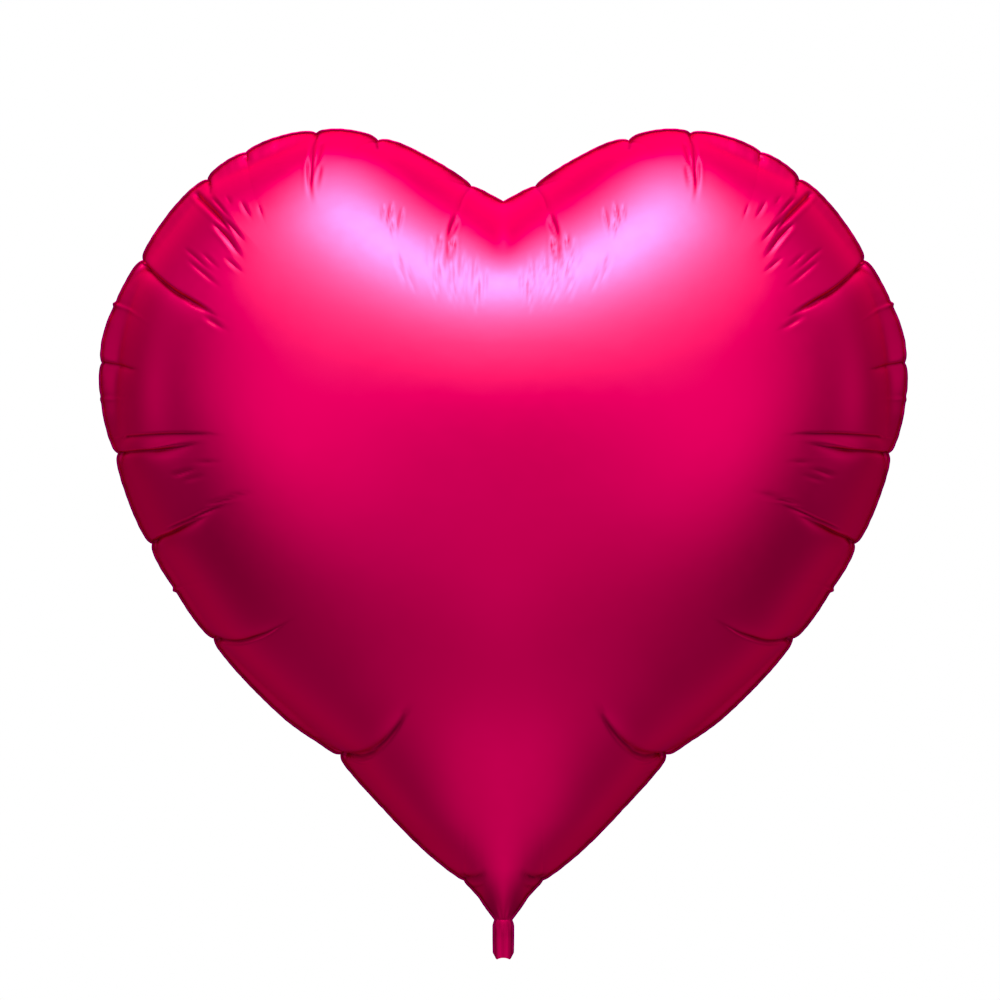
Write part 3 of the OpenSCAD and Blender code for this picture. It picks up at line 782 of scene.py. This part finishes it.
def foil(name, side, folds):
    """One whole film: the panel of the heart and the ply of the tail in one sheet."""
    half = panel(side, folds)
    points, faces, offset, before = [], [], 0, None
    start = 0
    for rows, step in bands:
        c = np.arange(0, HALF + 1, step)
        n = len(rows) * len(c)
        grid = half[start:start + n].reshape(len(rows), len(c), 4)
        start += n
        grid = np.concatenate([grid, grid[:, 1:-1][:, ::-1] * [-1, 1, 1, 1]], axis=1)
        m = grid.shape[1]
        ids = offset + np.arange(grid.shape[0] * m).reshape(grid.shape[0], m)
        if before is not None:
            a, b = before, ids[0]
            two, three = np.roll(a, -1), np.roll(a, -2)
            nxt = np.roll(b, -1)
            k = np.arange(m)
            faces += [(a[2 * i], two[2 * i], b[i]) for i in k]
            faces += [(two[2 * i], three[2 * i], nxt[i], b[i]) for i in k]
        for r in range(len(rows) - 1):
            a, b = ids[r], ids[r + 1]
            faces += list(zip(a, np.roll(a, -1), np.roll(b, -1), b))
        before = ids[-1]
        offset += ids.size
        points.append(grid.reshape(-1, 4))
    last = points[-1][-len(before):]
    centre = last.mean(0, keepdims=True)
    top = film.at(0.0, 0.0)
    centre[0, 1] = side * (top[1] * thick_share + PLY_GAP)
    points.append(centre)
    faces += [(before[i], before[(i + 1) % len(before)], offset) for i in range(len(before))]
    offset += 1
    # the tail hangs from the columns of the neck
    k = NECK_COLUMNS // 2
    across = np.r_[np.arange(FULL - k, FULL), np.arange(0, k + 1)]
    cols = np.linspace(-1, 1, 2 * k + 1)
    tail = tail_film(side, cols[None])
    ids = np.vstack([across[None], offset + np.arange(tail.shape[0] * tail.shape[1]).reshape(tail.shape[:2])])
    for a, b in zip(ids[:-1], ids[1:]):
        faces += list(zip(a[1:], a[:-1], b[:-1], b[1:]))
    points.append(np.column_stack([tail.reshape(-1, 3), np.zeros(tail.size // 3)]))
    if side > 0:
        faces = [f[::-1] for f in faces]
    points = np.vstack(points)
    o = mesh_object(name, points[:, :3], [tuple(int(i) for i in f) for f in faces])
    # the crease attribute carries painted shade along the folds into the foil material
    o.data.attributes.new("crease", "FLOAT", "POINT").data.foreach_set("value", points[:, 3].astype(np.float32))
    return o


front = foil("front_foil", -1, FOLDS)
back = foil("back_foil", 1, varied(FOLDS, 3))


def band(name, inner, outer, y_mid, half_thick):
    """A flat strip with two ends, between an inner and an outer line in the plane of x and z."""
    n = len(inner)
    pts = []
    for line, y in ((inner, -1), (outer, -1), (outer, 1), (inner, 1)):
        pts.append(np.stack([line[:, 0], y_mid + y * half_thick, line[:, 1]], axis=1))
    pts = np.vstack(pts)
    faces = []
    for k in range(4):
        a, b = k * n, ((k + 1) % 4) * n
        faces += [(a + i, b + i, b + i + 1, a + i + 1) for i in range(n - 1)]
    faces += [(0, n, 2 * n, 3 * n)[::-1], (n - 1, 2 * n - 1, 3 * n - 1, 4 * n - 1)]
    return mesh_object(name, pts, faces)


rim_ring = half_seam + half_out * rim_shape(half_u)[:, None]
outer_ring = rim_ring + half_out * FLANGE
wave = rim_wave(half_u)
lines = []
inner_foot, outer_foot = (neck_x[-1], NECK_Z), (NECK_HALF, NECK_Z - 0.0002)
for start, line in ((inner_foot, rim_ring - half_out * 0.0004), (outer_foot, outer_ring)):
    line = np.vstack([[start], line])  # the weld's foot, down to the weld of the tail
    line[-1, 0] = 0
    lines.append(np.vstack([line, (line[:-1] * [-1, 1])[::-1]]))
wave = np.r_[0, wave]
wave_full = np.r_[wave, wave[:-1][::-1]]
rim_weld = band("rim_weld_band", lines[0], lines[1], wave_full, WELD_HALF)

welds = []
for name, s in (("tail_weld_left_band", -1), ("tail_weld_right_band", 1)):
    u = 1 - TAIL_WELD / (TAIL_W / 2) * np.array([1.0, 0.0])
    share = np.linspace(0, 1, TAIL_ROWS + 1)
    inner_d = -NECK_Z + (tail_bottom(u[0]) + NECK_Z) * share
    outer_d = -NECK_Z + (tail_bottom(u[1]) + NECK_Z) * share
    inner = np.stack([s * (tail_half(np.maximum(inner_d, 0)) - TAIL_WELD - 0.0003), -inner_d], axis=1)
    outer = np.stack([s * tail_half(np.maximum(outer_d, 0)), -outer_d], axis=1)
    sway = 0.0004 * np.sin(inner_d / 0.006) * smoothstep(inner_d / 0.01)
    welds.append(band(name, inner, outer, sway, WELD_HALF))

for piece, node in ((front, "front_panel"), (back, "back_panel")):
    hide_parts(node, "tail_front" if piece is front else "tail_back")
    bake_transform(piece)
a, b = flat_outline[:-1], flat_outline[1:]
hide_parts("rim_weld")
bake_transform(rim_weld)
for piece, node in zip(welds, ("tail_weld_left", "tail_weld_right")):
    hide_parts(node)
    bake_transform(piece)


# ------------------------------------ materials
class Nodes:
    """A material's node tree, with short ways to add and link nodes."""

    def __init__(self, name, color, metallic, roughness):
        self.material = bpy.data.materials.new(name)
        self.material.use_nodes = True
        self.tree = self.material.node_tree
        self.shader = self.tree.nodes["Principled BSDF"]
        self.shader.inputs["Base Color"].default_value = (*color, 1)
        self.shader.inputs["Metallic"].default_value = metallic
        self.shader.inputs["Roughness"].default_value = roughness
        self.place = self.add("TexCoord").outputs["Object"]

    def add(self, kind, values=(), **settings):
        node = self.tree.nodes.new("ShaderNode" + kind)
        for key, value in settings.items():
            setattr(node, key, value)
        for key, value in dict(values).items():
            if isinstance(value, bpy.types.NodeSocket):
                self.tree.links.new(value, node.inputs[key])
            else:
                node.inputs[key].default_value = value
        return node

    def noise(self, scale, detail=2.0, stretch=None):
        """A noise, with the place stretched first so that its grains are long in one direction."""
        place = self.place
        if stretch:
            place = self.add("Mapping", {"Vector": place, "Scale": stretch}).outputs["Vector"]
        return self.add("TexNoise", {"Vector": place, "Scale": scale, "Detail": detail}).outputs["Fac"]

    def ramp(self, value, stops):
        node = self.add("ValToRGB", {"Fac": value})
        ends = node.color_ramp.elements
        for k, (at, color) in enumerate(stops):
            end = ends[k] if k < 2 else ends.new(at)
            end.position, end.color = at, (*color, 1) if len(color) == 3 else (color[0],) * 3 + (1,)
        return node.outputs["Color"]

    def range(self, value, low, high):
        return self.add("MapRange", {"Value": value, "To Min": low, "To Max": high}).outputs["Result"]

    def bump(self, height, distance, strength=1.0, before=None):
        values = {"Height": height, "Distance": distance, "Strength": strength}
        if before is not None:
            values["Normal"] = before
        return self.add("Bump", values).outputs["Normal"]

    def into(self, socket, value):
        self.tree.links.new(value, self.shader.inputs[socket])


def foil_material():
    """Satin metallised film: a coloured lacquer over aluminium, under a clear film."""
    m = Nodes("satin_foil", (0.88, 0.049, 0.128), 1.0, 0.34)
    m.shader.inputs["Specular Tint"].default_value = (1.0, 0.25, 0.45, 1)
    cloud = m.noise(2.6, 3)
    full = m.ramp(cloud, [(0.32, (0.865, 0.047, 0.122)), (0.68, (0.895, 0.051, 0.134))])
    height = m.add("SeparateXYZ", {"Vector": m.place}).outputs["Z"]
    low, high = NECK_TAIL_SHADE[0][0], NECK_TAIL_SHADE[-1][0]
    height = m.add("MapRange", {"Value": height, "From Min": low, "From Max": high}).outputs["Result"]
    # painted shade by height: the neck and the top of the tail darker
    slack = m.ramp(height, [((z - low) / (high - low), (bright,) * 3) for z, bright in NECK_TAIL_SHADE])
    # painted shade: the base colour is darker on the film at the neck and tail, and along each crease
    crease = m.add("Attribute", attribute_name="crease").outputs["Fac"]
    crease_shading = m.range(crease, 1.0, CREASE_SHADE)
    bright = m.add("Math", {0: slack, 1: crease_shading}, operation="MULTIPLY").outputs["Value"]
    shaded_color = m.add("VectorMath", {0: full, "Scale": bright}, operation="SCALE").outputs["Vector"]
    m.into("Base Color", shaded_color)
    grain = m.noise(420, 2)
    m.into("Roughness", m.range(m.noise(38, 4), 0.31, 0.37))
    soft = m.bump(m.noise(24, 3), 0.0004, 0.5)
    m.into("Normal", m.bump(grain, 0.00003, 0.6, soft))
    return m.material


def weld_material():
    """The pressed heat seal: the same film, flattened, its colour darkened as painted shade of the seam's
    crease, with the fine rib of the seal bar.
    """
    # painted shade: the seal's colours are kept far darker than the film's
    m = Nodes("heat_seal", (0.16, 0.004, 0.03), 1.0, 0.45)
    m.into("Base Color", m.ramp(m.noise(55, 3), [(0.3, (0.27, 0.006, 0.055)), (0.7, (0.40, 0.010, 0.085))]))
    m.into("Roughness", m.range(m.noise(160, 2), 0.38, 0.56))
    bars = {"Vector": m.place, "Scale": 190.0, "Distortion": 0.4}
    rib = m.add("TexWave", bars, bands_direction="DIAGONAL").outputs["Fac"]
    m.into("Normal", m.bump(m.noise(700, 2), 0.00003, 0.5, m.bump(rib, 0.00006, 0.7)))
    return m.material


def film_material(name, color, rough, grain):
    """Thin clear plastic film, slightly milky."""
    m = Nodes(name, color, 0.0, rough)
    m.shader.inputs["IOR"].default_value = 1.5
    m.shader.inputs["Transmission Weight"].default_value = 0.7
    milky = tuple(min(1, c * 1.08) for c in color)
    m.into("Base Color", m.ramp(m.noise(grain, 3), [(0.3, color), (0.7, milky)]))
    m.into("Roughness", m.range(m.noise(grain * 5, 2), rough - 0.06, rough + 0.08))
    m.into("Normal", m.bump(m.noise(grain * 2.2, 3, (1, 1, 0.25)), 0.0001, 0.5))
    return m.material


def ink_material():
    """The matt release ink printed inside the tongue's entry."""
    m = Nodes("release_ink", (0.55, 0.62, 0.66), 0.0, 0.8)
    m.into("Base Color", m.ramp(m.noise(900, 2), [(0.42, (0.44, 0.52, 0.57)), (0.58, (0.66, 0.72, 0.75))]))
    m.into("Roughness", m.range(m.noise(300, 2), 0.72, 0.92))
    m.into("Normal", m.bump(m.noise(1500, 2), 0.00002, 0.6))
    return m.material


def dress(o, m):
    o.data.materials.clear()
    o.data.materials.append(m)


foil_mat, weld_mat = foil_material(), weld_material()
tongue_mat = film_material("valve_film", (0.86, 0.88, 0.90), 0.30, 70)
seal_mat = film_material("valve_seal", (0.78, 0.80, 0.83), 0.42, 160)
ink_mat = ink_material()
for o in (front, back):
    dress(o, foil_mat)
for o in (rim_weld, *welds):
    dress(o, weld_mat)
for node in ("valve_inlet_front", "valve_inlet_back", "valve_tongue_front", "valve_tongue_back"):
    dress(bpy.data.objects[node], tongue_mat)
for node in ("valve_tack_front", "valve_tack_back", "valve_seal_left", "valve_seal_right"):
    dress(bpy.data.objects[node], seal_mat)
dress(bpy.data.objects["release_coat"], ink_mat)

# ------------------------------------ light, floor and camera
scene = bpy.context.scene
scene.view_settings.view_transform = "Standard"
scene.view_settings.use_curve_mapping = True
# the photograph's deep pinks have no green in them
scene.view_settings.curve_mapping.black_level = (0.0, 0.046, 0.0)
scene.view_settings.curve_mapping.update()

# A white studio: soft lights all round, each given by the height and bearing it shines from in degrees
# (bearing 0 is the camera's side, and any other is there to the left and to the right), how small it is, and
# how bright. The camera itself sees plain white. Most of the numbers began as a least-squares fit to the
# photograph's colours, made outside this script, and were then rounded and changed by hand.
SOFT_LIGHTS = [
    (60, 0, 6, 2.8),  # the large light above the camera
    (70, 0, 34, 13.0),  # the lamp in its middle
    (64, 48, 25, 1.0),
    (0, 40, 12, 0.87),  # fill beside the camera
    (0, 100, 50, 0.45), (30, 100, 12, 0.30), (30, 160, 12, 0.95),  # the room's walls
    (80, 156, 25, 1.3),  # top lights behind
    (-30, 140, 12, 0.24),
    (-75, 0, 6, 0.6), (-24, 0, 30, 0.42),  # what the floor gives back
    (-2, 0, 25, 0.18),  # soft fill behind the camera
]
SOFT_BASE = 0.12

world = bpy.data.worlds.new("studio")
scene.world = world
world.use_nodes = True
tree = world.node_tree


def link(node, socket, value):
    if isinstance(value, bpy.types.NodeSocket):
        tree.links.new(value, node.inputs[socket])
    else:
        node.inputs[socket].default_value = value


def math_node(operation, a, b):
    node = tree.nodes.new("ShaderNodeMath")
    node.operation = operation
    link(node, 0, a)
    link(node, 1, b)
    return node.outputs[0]


direction = tree.nodes.new("ShaderNodeTexCoord").outputs["Generated"]
total = SOFT_BASE
both_sides = [(h, side * b, *rest) for h, b, *rest in SOFT_LIGHTS for side in ((1, -1) if b else (1,))]
for height, bearing, small, bright in both_sides:
    e, a = math.radians(height), math.radians(bearing)
    dot = tree.nodes.new("ShaderNodeVectorMath")
    dot.operation = "DOT_PRODUCT"
    link(dot, 0, direction)
    link(dot, 1, (math.cos(e) * math.sin(a), -math.cos(e) * math.cos(a), math.sin(e)))
    off = math_node("MULTIPLY", math_node("SUBTRACT", dot.outputs["Value"], 1.0), float(small))
    lobe = math_node("EXPONENT", off, 0.0)
    total = math_node("ADD", math_node("MULTIPLY", lobe, bright), total)
seen = tree.nodes.new("ShaderNodeLightPath").outputs["Is Camera Ray"]
lit = math_node("MULTIPLY", total, math_node("SUBTRACT", 1.0, seen))
background = tree.nodes["Background"]
link(background, "Color", math_node("ADD", seen, lit))
link(background, "Strength", 1.0)

FLOOR_Z, FLOOR_R, FLOOR_SIDES = -0.45, 2.5, 96
turns = np.linspace(0, 2 * math.pi, FLOOR_SIDES + 1)[:-1]
ring_points = [(FLOOR_R * math.cos(t), FLOOR_R * math.sin(t), FLOOR_Z) for t in turns]
floor = mesh_object("studio_floor", ring_points, [tuple(range(FLOOR_SIDES))], False)
floor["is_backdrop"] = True
paper = Nodes("floor_paper", (0.86, 0.86, 0.86), 0.0, 0.9)
paper.into("Base Color", paper.ramp(paper.noise(3, 2), [(0.3, (0.84, 0.84, 0.84)), (0.7, (0.88, 0.88, 0.88))]))
dress(floor, paper.material)
floor.visible_glossy = False

camera = bpy.data.objects.new("camera", bpy.data.cameras.new("camera"))
SENSOR = 36
CAMERA_FAR, FRAME_HIGH = 12.0, 1.929  # the photograph shows 1.929 m at the balloon, from far away
CAMERA_X, CAMERA_Z = -0.0064, 0.811
camera.data.sensor_width = SENSOR
camera.data.lens = SENSOR * CAMERA_FAR / FRAME_HIGH
camera.location = (CAMERA_X, -CAMERA_FAR, CAMERA_Z)
camera.rotation_euler = (math.pi / 2, 0, 0)
scene.collection.objects.link(camera)
scene.camera = camera
